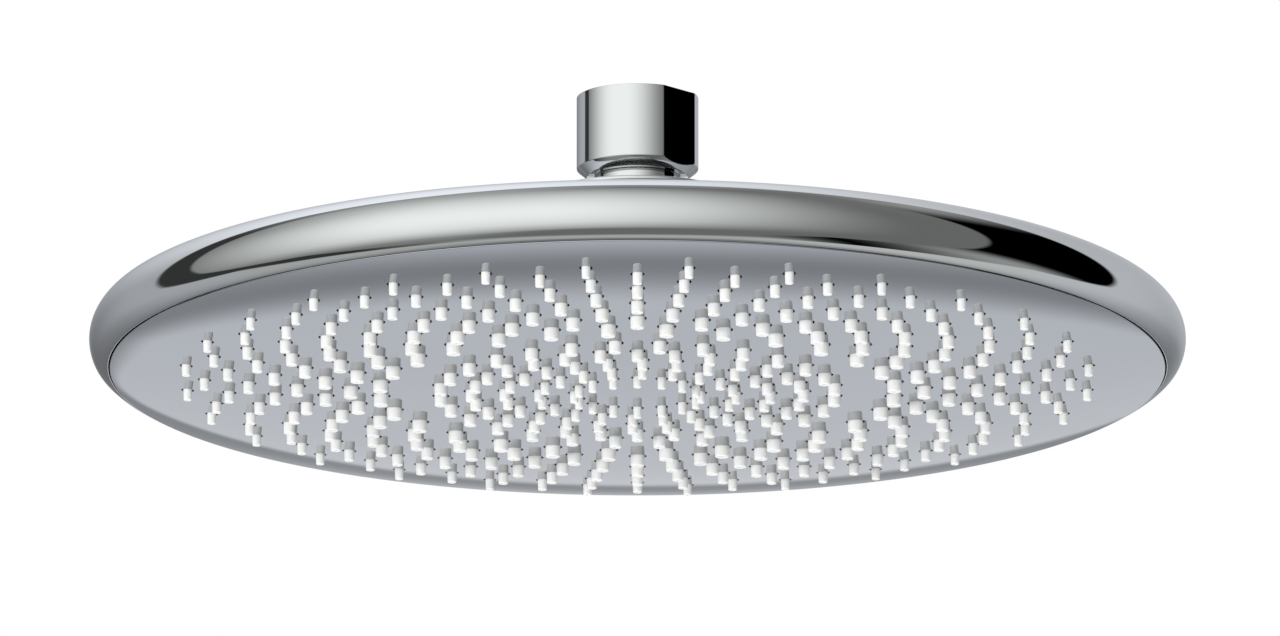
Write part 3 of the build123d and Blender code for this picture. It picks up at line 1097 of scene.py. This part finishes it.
@dataclass
class InletNut:
    """The chromed inlet nut: wrench flats, a chamfered foot and a female pipe thread."""

    flats: float = 25.8
    flats_turn: float = -42.0
    foot_width: float = 2.3
    foot_height: float = 1.9
    thread_wall: float = 10.48
    thread_depth: float = 9.4
    thread_crest: float = 9.35
    thread_pitch: float = 1.814
    thread_lead: float = 0.7
    thread_share: float = 0.42
    thread_sink: float = 0.05
    seat_radius: float = 10.1
    seat_depth: float = 2.5
    bore: float = 8.65
    edge: float = 0.18
    segments: int = 192
    thread_steps: int = 64

    def build(self, book: FinishBook) -> Object:
        """Turns the nut, mills its flats, rounds its edges and cuts its thread.

        Args:
            book: The finishes.

        Returns:
            The nut.
        """
        nut = turned("inlet_nut_body", self._profile(), self.segments)
        self._mill_flats(nut)
        soften_edges(nut, self.edge)
        nut = joined([nut, self._thread()], "inlet_nut_body")
        smooth(nut, weighted=True)
        book.dress(nut, FinishBook.INLET)
        finish_piece(nut, Body.INLET, Slot.INLET_CHROME, "inlet_nut")
        return nut

    def _profile(self) -> list[Point]:
        """The nut's half section, closed.

        Returns:
            The points, from the bore's foot round.
        """
        low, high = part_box("inlet_nut")
        foot = low.z / MM
        radius = high.x / MM
        floor = -self.thread_depth - self.seat_depth
        return [
            (self.bore, foot),
            (radius - self.foot_width, foot),
            (radius, foot + self.foot_height),
            (radius, 0.0),
            (self.thread_wall + self.thread_lead, 0.0),
            (self.thread_wall, -self.thread_lead),
            (self.thread_wall, -self.thread_depth),
            (self.seat_radius, -self.thread_depth),
            (self.seat_radius, floor),
            (self.bore, floor),
            (self.bore, foot),
        ]

    def _mill_flats(self, nut: Object) -> None:
        """Cuts the two wrench flats.

        Args:
            nut: The turned nut.
        """
        pick(nut)
        bpy.ops.object.mode_set(mode="EDIT")
        turn = radians(self.flats_turn)
        for side in (1.0, -1.0):
            normal = Vector((side * cos(turn), side * sin(turn), 0.0))
            bpy.ops.mesh.select_all(action="SELECT")
            place = normal * self.flats / 2 * MM
            bpy.ops.mesh.bisect(plane_co=place, plane_no=normal, use_fill=True, clear_outer=True)
        close_seams()
        bpy.ops.object.mode_set(mode="OBJECT")

    def _thread(self) -> Object:
        """Winds the thread's ridge down the nut's mouth.

        Returns:
            The ridge.
        """
        half = self.thread_share * self.thread_pitch
        turns = int((self.thread_depth - 2 * self.thread_lead) / self.thread_pitch)
        root = self.thread_wall + self.thread_sink
        top = -self.thread_lead - half
        corners = ((root, top + half), (self.thread_crest, top), (root, top - half))
        deselect()
        bpy.ops.mesh.primitive_circle_add(vertices=3, radius=MM, fill_type="NOTHING")
        ridge = bpy.context.object
        for vertex, (radius, level) in zip(ridge.data.vertices, corners):
            vertex.co = (radius * MM, 0.0, level * MM)
        screw = ridge.modifiers.new("wind", "SCREW")
        screw.angle = -2 * pi * turns
        screw.screw_offset = -self.thread_pitch * turns * MM
        screw.steps = screw.render_steps = self.thread_steps * turns
        bpy.ops.object.modifier_apply(modifier=screw.name)
        bpy.ops.object.mode_set(mode="EDIT")
        bpy.ops.mesh.select_all(action="SELECT")
        bpy.ops.mesh.fill_holes(sides=3)
        close_seams()
        bpy.ops.object.mode_set(mode="OBJECT")
        return ridge


@dataclass
class BallStem:
    """The turned stem: neck, throat and ball in one piece, bored through."""

    neck: float = 9.8
    neck_length: float = 2.7
    throat: float = 7.5
    throat_flare: float = 2.0
    throat_drop: float = 10.0
    throat_round: float = 0.6
    ball: float = 11.0
    ball_cut: float = 9.0
    bore: float = 5.5
    spigot: float = 8.6
    groove_depth: float = 1.1
    groove_width: float = 1.3
    groove_rise: float = 1.7
    pocket: float = 6.6
    pocket_depth: float = 3.6
    edge: float = 0.2
    segments: int = 160
    ball_steps: int = 40

    def build(self, book: FinishBook) -> Object:
        """Turns the stem.

        Args:
            book: The finishes.

        Returns:
            The stem.
        """
        stem = turned("neck_and_ball", self._profile(), self.segments)
        smooth(stem)
        book.dress(stem, FinishBook.INLET)
        finish_piece(stem, Body.INLET, Slot.INLET_CHROME, "ball_stem")
        return stem

    def _profile(self) -> list[Point]:
        """The stem's half section, closed.

        Returns:
            The points, from the ball's cut round.
        """
        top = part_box("ball_stem")[1].z / MM
        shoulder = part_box("inlet_nut")[0].z / MM
        neck_low = shoulder - self.neck_length
        throat_low = neck_low - self.throat_flare
        centre = throat_low - self.throat_drop
        groove_low = shoulder + self.groove_rise - self.groove_width / 2
        groove = self.spigot - self.groove_depth
        throat_angle = 90.0 - degrees(asin(self.throat / self.ball))
        cut_angle = -degrees(asin(self.ball_cut / self.ball))
        pocket_floor = top - self.pocket_depth
        return [
            (self.bore, centre - self.ball_cut),
            *arc((0.0, centre), (self.ball,) * 2, cut_angle, throat_angle, self.ball_steps),
            *eased(
                [
                    (self.throat, throat_low - self.throat_round, 0.0),
                    (self.throat, throat_low, self.throat_round),
                    (self.neck, neck_low, self.edge),
                    (self.neck, shoulder, self.edge),
                    (self.spigot, shoulder, 0.0),
                    (self.spigot, groove_low, 0.0),
                    (groove, groove_low, 0.0),
                    (groove, groove_low + self.groove_width, 0.0),
                    (self.spigot, groove_low + self.groove_width, 0.0),
                    (self.spigot, top, 0.0),
                    (self.pocket, top, 0.0),
                    (self.pocket, pocket_floor, 0.0),
                    (self.bore, pocket_floor, 0.0),
                    (self.bore, centre - self.ball_cut, 0.0),
                ]
            ),
        ]


@dataclass
class BallCollar:
    """The dark screw collar that shows in the gap round the neck."""

    radius: float = 19.2
    skirt: float = 11.5
    shoulder: float = 4.0
    top: float = 8.0
    nose: float = 15.0
    mouth: float = 11.8
    seat: float = 12.6
    seat_top_angle: float = 57.0
    socket: float = 16.55
    socket_drop: float = 1.0
    mouth_round: float = 0.4
    shoulder_round: float = 0.5
    foot_round: float = 0.3
    segments: int = 128
    seat_steps: int = 12

    def build(self, book: FinishBook) -> Object:
        """Turns the collar.

        Args:
            book: The finishes.

        Returns:
            The collar.
        """
        collar = turned("screw_collar", self._profile(), self.segments)
        smooth(collar)
        book.dress(collar, FinishBook.BEARING)
        finish_piece(collar, Body.HEAD, Slot.BEARING_PLASTIC, "ball_collar")
        return collar

    def _profile(self) -> list[Point]:
        """The collar's half section, closed.

        Returns:
            The points, from the seat's foot round.
        """
        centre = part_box("ball_collar")[1].z / MM - self.top
        low_angle = -degrees(asin(self.socket_drop / self.seat))
        high_angle = 90.0 - self.seat_top_angle
        seat = arc((0.0, centre), (self.seat,) * 2, low_angle, high_angle, self.seat_steps)
        return [
            *seat,
            *eased(
                [
                    (*seat[-1], 0.0),
                    (self.mouth, centre + self.top, self.mouth_round),
                    (self.nose, centre + self.top, self.shoulder_round),
                    (self.radius, centre + self.shoulder, self.shoulder_round),
                    (self.radius, centre - self.skirt, self.foot_round),
                    (self.socket, centre - self.skirt, 0.0),
                    (self.socket, centre - self.socket_drop, 0.0),
                    (*seat[0], 0.0),
                ]
            )[1:],
        ]


@dataclass
class FilterScreen:
    """The dished woven screen on the washer, in the nut's mouth."""

    dish: float = 5.6
    rim: float = 7.6
    rim_round: float = 0.15
    rim_sides: int = 64
    thickness: float = 0.4
    sag: float = 1.3
    meshes: int = 22
    wire: float = 0.16

    def build(self, book: FinishBook) -> Object:
        """Weaves the dish and turns its rim.

        Args:
            book: The finishes.

        Returns:
            The screen.
        """
        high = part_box("filter_screen")[1].z / MM
        low = high - self.thickness
        rim = turned("screen_rim", self._rim(low, high), self.rim_sides)
        screen = joined([rim, self._mesh(high)], "woven_screen")
        smooth(screen)
        book.dress(screen, FinishBook.SCREEN)
        finish_piece(screen, Body.INLET, Slot.FILTER_STEEL, "filter_screen")
        return screen

    def _rim(self, low: float, high: float) -> list[Point]:
        """The folded rim's half section, closed.

        Args:
            low: Level of its underside.
            high: Level of its top.

        Returns:
            The points, from the underside's inner edge round.
        """
        inner = self.dish - self.wire
        return eased(
            [
                (inner, low, 0.0),
                (self.rim, low, self.rim_round),
                (self.rim, high, self.rim_round),
                (inner, high, 0.0),
                (inner, low, 0.0),
            ]
        )

    def _mesh(self, high: float) -> Object:
        """Weaves the dish's wires, crossed at right angles.

        Args:
            high: Level of the rim's top.

        Returns:
            The wires.
        """
        deselect()
        level = high - self.thickness / 2
        size = 2 * self.dish * MM
        bpy.ops.mesh.primitive_grid_add(
            x_subdivisions=self.meshes, y_subdivisions=self.meshes, size=size, location=(0, 0, 0)
        )
        weave = bpy.context.object
        bpy.ops.object.mode_set(mode="EDIT")
        bpy.ops.mesh.select_all(action="DESELECT")
        bpy.ops.object.mode_set(mode="OBJECT")
        for vertex in weave.data.vertices:
            radius = hypot(vertex.co.x, vertex.co.y) / MM
            vertex.select = radius > self.dish
            share = min(1.0, radius / self.dish)
            vertex.co.z = (level - self.sag * (1.0 - share**2)) * MM
        bpy.ops.object.mode_set(mode="EDIT")
        bpy.ops.mesh.delete(type="VERT")
        bpy.ops.object.mode_set(mode="OBJECT")
        wires = weave.modifiers.new("wires", "WIREFRAME")
        wires.thickness = self.wire * MM
        wires.use_even_offset = False
        bpy.ops.object.modifier_apply(modifier=wires.name)
        return weave


# The studio


@dataclass
class Tent:
    """What the chrome mirrors: a tent, a softbox between dark strips in front, and a panel behind.

    Angles are degrees to the right of the camera, or above the horizon. The sides, the roof's edge, the
    ground's depth and the panel's sizes are shares of the direction's own parts.
    """

    view_elevation: float
    sides: Range = (-0.2, 0.4)
    dull_light: Range = (0.76, 1.06)
    roof_lean: float = 0.16
    roof_edge: Range = (-0.03, 0.05)
    roof_left: float = 1.36
    roof_left_rise: Range = (8.0, 62.0)
    roof_right: float = 0.96
    roof_right_rise: Range = (38.0, 72.0)
    cloth_left: float = 0.56
    cloth_right: float = 0.72
    cloth_front: float = 0.36
    corner_tone: float = 0.4
    corner_turn: Range = (10.0, 52.0)
    corner_left_rise: Range = (2.0, 34.0)
    corner_right_rise: Range = (-12.0, 20.0)
    ground_tones: Range = (0.21, 0.58)
    ground_depth: Range = (0.02, 0.15)
    ground_fall: Range = (-66.0, -79.0)
    front: Range = (-119.0, 118.0)
    front_edge: float = 1.6
    strip_tone: float = 0.05
    strip_haze: float = 0.46
    strip_haze_rise: Range = (36.0, 66.0)
    strip_foot: float = 0.24
    strip_foot_fall: Range = (-58.0, -74.0)
    strip_top: float = 0.2
    strip_top_rise: Range = (62.0, 80.0)
    board_tone: float = 0.42
    board_above: Range = (49.0, 70.0)
    board_below: Range = (-56.0, -32.0)
    board_edge: float = 11.0
    board_inner: float = 0.55
    board_turn: Range = (70.0, 104.0)
    softbox: Range = (-106.0, 78.0)
    softbox_edge: float = 1.0
    softbox_low: float = 0.21
    softbox_glow: float = 1.15
    softbox_left: Range = (-122.0, -45.0)
    softbox_right: Range = (-22.0, 62.0)
    softbox_height: float = 4.0
    softbox_bend: float = 1.07
    softbox_haze: float = 0.24
    softbox_haze_rise: Range = (30.0, 62.0)
    softbox_haze_turn: Range = (-104.0, -52.0)
    softbox_haze_right: float = 0.12
    panel_width: float = 0.168
    panel_near: float = 0.0955
    panel_far: float = 0.102
    panel_middle: Range = (-0.02, 0.02)
    panel_shift: float = 0.007
    panel_low: Range = (-0.02, -0.1)
    panel_fade: Range = (1.7, 2.1)
    panel_tone: float = 1.07
    seam_tone: float = 0.49
    seam_soft: Range = (0.14, 0.54)
    seam_fade: Range = (0.006, 0.39)
    seam_turn: float = 0.2
    plain_fall: Range = (-30.0, -55.0)
    panel_tint: Colour = (0.972, 1.0, 1.04)
    softbox_tint: Colour = (0.978, 1.0, 0.995)
    cloth_tint: Colour = (0.965, 0.995, 1.06)

    def __post_init__(self) -> None:
        """Makes the world, and the directions that its tones follow."""
        world = bpy.data.worlds.new("tent")
        bpy.context.scene.world = world
        world.use_nodes = True
        world.cycles.sampling_method = "NONE"
        graph = self.graph = Graph(world.node_tree)
        self.ray = graph.add("ShaderNodeTexCoord").outputs["Generated"]
        right, self.away, up = self._parts(self.ray)
        self.towards = graph.times(self.away, -1.0)
        self.azimuth = graph.math("DEGREES", graph.math("ARCTAN2", right, self.towards))
        self.elevation = graph.math("DEGREES", graph.math("ARCSINE", up))
        self.side = graph.span(right, *self.sides)
        behind = graph.math("SUBTRACT", self.away, graph.times(up, self.roof_lean))
        self.behind = graph.span(behind, *self.roof_edge)

    def build(self) -> None:
        """Lights the world: white to the camera, even on dull surfaces, and the tent in mirrors."""
        graph = self.graph
        mirrored = self._with_panel(self._mirrored())
        light = graph.span(self.towards, -1.0, 1.0, *self.dull_light)
        rays = graph.add("ShaderNodeLightPath").outputs
        colour = graph.blend_colours(rays["Is Glossy Ray"], light, mirrored)
        colour = graph.blend_colours(rays["Is Camera Ray"], colour, WHITE)
        background = graph.add("ShaderNodeBackground")
        graph.feed(background.inputs["Color"], colour)
        output = graph.add("ShaderNodeOutputWorld")
        graph.feed(output.inputs["Surface"], background.outputs["Background"])

    def _parts(self, vector: NodeSocket) -> tuple[NodeSocket, NodeSocket, NodeSocket]:
        """Splits a vector.

        Args:
            vector: The vector.

        Returns:
            Its parts along X, Y and Z.
        """
        split = self.graph.add("ShaderNodeSeparateXYZ")
        self.graph.feed(split.inputs[0], vector)
        return tuple(split.outputs)

    def _length(self, across: NodeSocket, along: NodeSocket) -> NodeSocket:
        """The length of a flat vector, from its two parts."""
        graph = self.graph
        return graph.math("SQRT", graph.plus(graph.times(across, across), graph.times(along, along)))

    def _between(self, value: NodeSocket, limits: Range, edge: float) -> NodeSocket:
        """A mask that is whole between two limits.

        Args:
            value: What is limited.
            limits: The lower and the upper limit.
            edge: Half width of the soft edges.

        Returns:
            The mask's socket.
        """
        low, high = limits
        rise = self.graph.span(value, low - edge, low + edge)
        return self.graph.times(rise, self.graph.span(value, high - edge, high + edge, 1.0, 0.0))

    def _mirrored(self) -> NodeSocket:
        """The cloth, the strips, the softbox and the ground, each in its tint.

        Returns:
            The colour's socket.
        """
        graph = self.graph
        front = self._between(self.azimuth, self.front, self.front_edge)
        tone = graph.blend(front, self._cloth(), self._strips())
        softbox = self._between(self.azimuth, self.softbox, self.softbox_edge)
        tone = graph.blend(softbox, tone, self._softbox())
        ground = graph.span(self.away, *self.ground_depth, *self.ground_tones)
        tone = graph.blend(graph.span(self.elevation, *self.ground_fall), tone, ground)
        plain = graph.math("MAXIMUM", front, graph.span(self.elevation, *self.plain_fall))
        return graph.tinted(tone, graph.blend_colours(plain, self.cloth_tint, self.softbox_tint))

    def _cloth(self) -> NodeSocket:
        """The tent's cloth: bright above, and dim low down at the back.

        Returns:
            The tone's socket.
        """
        graph = self.graph
        left = graph.span(self.elevation, *self.roof_left_rise, self.cloth_left, self.roof_left)
        right = graph.span(self.elevation, *self.roof_right_rise, self.cloth_right, self.roof_right)
        cloth = graph.blend(self.behind, self.cloth_front, graph.blend(self.side, left, right))
        turn = graph.math("SUBTRACT", 180.0, graph.math("ABSOLUTE", self.azimuth))
        corner = graph.span(turn, *self.corner_turn, self.corner_tone, 1.0)
        low_left = graph.span(self.elevation, *self.corner_left_rise, 1.0, 0.0)
        low_right = graph.span(self.elevation, *self.corner_right_rise, 1.0, 0.0)
        low = graph.blend(self.side, low_left, low_right)
        return graph.times(cloth, graph.blend(low, 1.0, corner))

    def _strips(self) -> NodeSocket:
        """The dark strips beside the softbox, of which the right one has a dim board above and below.

        Returns:
            The tone's socket.
        """
        graph = self.graph
        haze = graph.span(self.elevation, *self.strip_haze_rise, self.strip_tone, self.strip_haze)
        left = graph.plus(haze, graph.span(self.elevation, *self.strip_foot_fall, 0.0, self.strip_foot))
        outer = graph.span(self.azimuth, *self.board_turn, self.board_inner, 1.0)
        above = self._between(self.elevation, self.board_above, self.board_edge)
        below = self._between(self.elevation, self.board_below, self.board_edge)
        boards = graph.times(graph.plus(above, below), outer)
        top = graph.span(self.elevation, *self.strip_top_rise, 0.0, self.strip_top)
        right = graph.plus(graph.times(boards, self.board_tone), top)
        return graph.blend(self.side, left, right)

    def _softbox(self) -> NodeSocket:
        """The softbox's cloth, brightest left of its middle.

        Returns:
            The tone's socket.
        """
        graph = self.graph
        left = graph.span(self.azimuth, *self.softbox_left)
        sides = graph.times(left, graph.span(self.azimuth, *self.softbox_right, 1.0, 0.0))
        bend = graph.times(graph.math("SUBTRACT", self.elevation, self.softbox_height), self.softbox_bend)
        fall = graph.math("MAXIMUM", graph.math("COSINE", graph.math("RADIANS", bend)), 0.0)
        glow = graph.times(graph.times(sides, fall), self.softbox_glow)
        edge = graph.span(self.azimuth, *self.softbox_haze_turn, 1.0, self.softbox_haze_right)
        rise = graph.span(self.elevation, *self.softbox_haze_rise, 0.0, self.softbox_haze)
        return graph.plus(graph.plus(glow, graph.times(rise, edge)), self.softbox_low)

    def _with_panel(self, colour: NodeSocket) -> NodeSocket:
        """Adds the pale panel behind the head with a dark seam round it, where the spray face mirrors it.

        Args:
            colour: The surroundings' colour so far.

        Returns:
            The colour's socket.
        """
        graph = self.graph
        elevation = radians(self.view_elevation)
        lean = graph.add("ShaderNodeVectorMath", operation="SUBTRACT")
        lean.inputs[1].default_value = (0.0, cos(elevation), -sin(elevation))
        graph.feed(lean.inputs[0], self.ray)
        sideways, along, upright = self._parts(lean.outputs["Vector"])
        across = graph.plus(graph.math("DIVIDE", sideways, upright), self.panel_shift)
        along = graph.math("DIVIDE", along, upright)
        near = graph.span(along, *self.panel_middle)
        width = graph.math("DIVIDE", across, self.panel_width)
        depth = graph.math("DIVIDE", along, graph.blend(near, self.panel_far, self.panel_near))
        reach = self._length(width, depth)
        turn = graph.math("DIVIDE", graph.math("ABSOLUTE", along), self._length(across, along))
        past = graph.math("SUBTRACT", reach, 1.0)
        soft = graph.times(graph.math("MAXIMUM", turn, self.seam_turn), graph.blend(near, *self.seam_soft))
        fall = graph.span(graph.math("DIVIDE", past, soft), -1.0, 0.0)
        seam = graph.times(fall, graph.span(past, *self.seam_fade, 1.0, 0.0))
        panel = graph.blend(seam, self.panel_tone, self.seam_tone)
        low = graph.span(upright, *self.panel_low)
        place = graph.times(graph.span(reach, *self.panel_fade, 1.0, 0.0), low)
        return graph.blend_colours(place, colour, graph.tinted(panel, self.panel_tint))


@dataclass
class Studio:
    """The tent, a pale floor, a soft lamp and the camera. The floor and the lamp are sized in metres."""

    camera_elevation: float = -14.05
    camera_target: tuple[float, float, float] = (0.57, 0.0, -51.75)
    frame_width: float = 291.85
    lens: float = 850.0
    sensor: float = 36.0
    clip_near: float = 0.1
    lamp_place: tuple[float, float, float] = (-1.6, -2.4, -0.9)
    lamp_width: float = 1.2
    lamp_power: float = 48.0
    floor_level: float = -2.2
    floor_radius: float = 9.0
    floor_sides: int = 64
    floor_colour: Colour = (0.88, 0.88, 0.88)

    def build(self) -> None:
        """Sets up the surroundings, the floor, the lamp and the camera."""
        bpy.context.scene.view_settings.view_transform = "Standard"
        Tent(self.camera_elevation).build()
        self._floor()
        self._lamp()
        self._camera()

    def _camera(self) -> None:
        """Puts the camera in front of the head and below it, far away with a long lens."""
        deselect()
        elevation = radians(self.camera_elevation)
        back = Vector((0.0, -cos(elevation), sin(elevation)))
        distance = self.frame_width * MM * self.lens / self.sensor
        target = Vector(self.camera_target) * MM
        bpy.ops.object.camera_add(location=target + back * distance)
        camera = bpy.context.object
        camera.rotation_euler = (-back).to_track_quat("-Z", "Y").to_euler()
        camera.data.lens = self.lens
        camera.data.sensor_width = self.sensor
        camera.data.clip_start = self.clip_near
        camera.data.clip_end = 3 * distance
        bpy.context.scene.camera = camera

    def _lamp(self) -> None:
        """A large soft lamp that models the nozzles, from the left in front."""
        deselect()
        place = Vector(self.lamp_place)
        bpy.ops.object.light_add(type="AREA", location=place)
        lamp = bpy.context.object
        lamp.rotation_euler = place.to_track_quat("Z", "Y").to_euler()
        lamp.data.shape = "DISK"
        lamp.data.size = self.lamp_width
        lamp.data.energy = self.lamp_power
        lamp.visible_glossy = False
        lamp.visible_camera = False

    def _floor(self) -> None:
        """A pale round floor far below, which a camera under it looks through."""
        deselect()
        place = (0, 0, self.floor_level)
        bpy.ops.mesh.primitive_circle_add(
            vertices=self.floor_sides, radius=self.floor_radius, fill_type="NGON", location=place
        )
        floor = bpy.context.object
        floor.name = "floor"
        floor.visible_glossy = False
        material = bpy.data.materials.new("pale_floor")
        material.use_nodes = True
        graph = Graph(material.node_tree)
        pale = graph.add("ShaderNodeBsdfDiffuse")
        graph.feed(pale.inputs["Color"], self.floor_colour)
        clear = graph.add("ShaderNodeBsdfTransparent")
        either = graph.add("ShaderNodeMixShader")
        graph.feed(either.inputs[0], graph.add("ShaderNodeNewGeometry").outputs["Backfacing"])
        graph.feed(either.inputs[1], pale.outputs["BSDF"])
        graph.feed(either.inputs[2], clear.outputs["BSDF"])
        graph.feed(graph.add("ShaderNodeOutputMaterial").inputs["Surface"], either.outputs["Shader"])
        floor.data.materials.append(material)


def main() -> None:
    """Builds the shower head piece by piece, dresses it and sets up its studio."""
    logging.basicConfig(level=logging.INFO, format="%(name)s: %(message)s")
    book = FinishBook()
    face = SprayFace()
    for piece in (
        InletNut(),
        BallStem(),
        FilterScreen(),
        BallCollar(),
        BodyShell(),
        NozzleMat(face),
        FacePlate(face),
    ):
        piece.build(book)
    book.dress_solids()
    Studio().build()


if __name__ == "__main__":
    main()
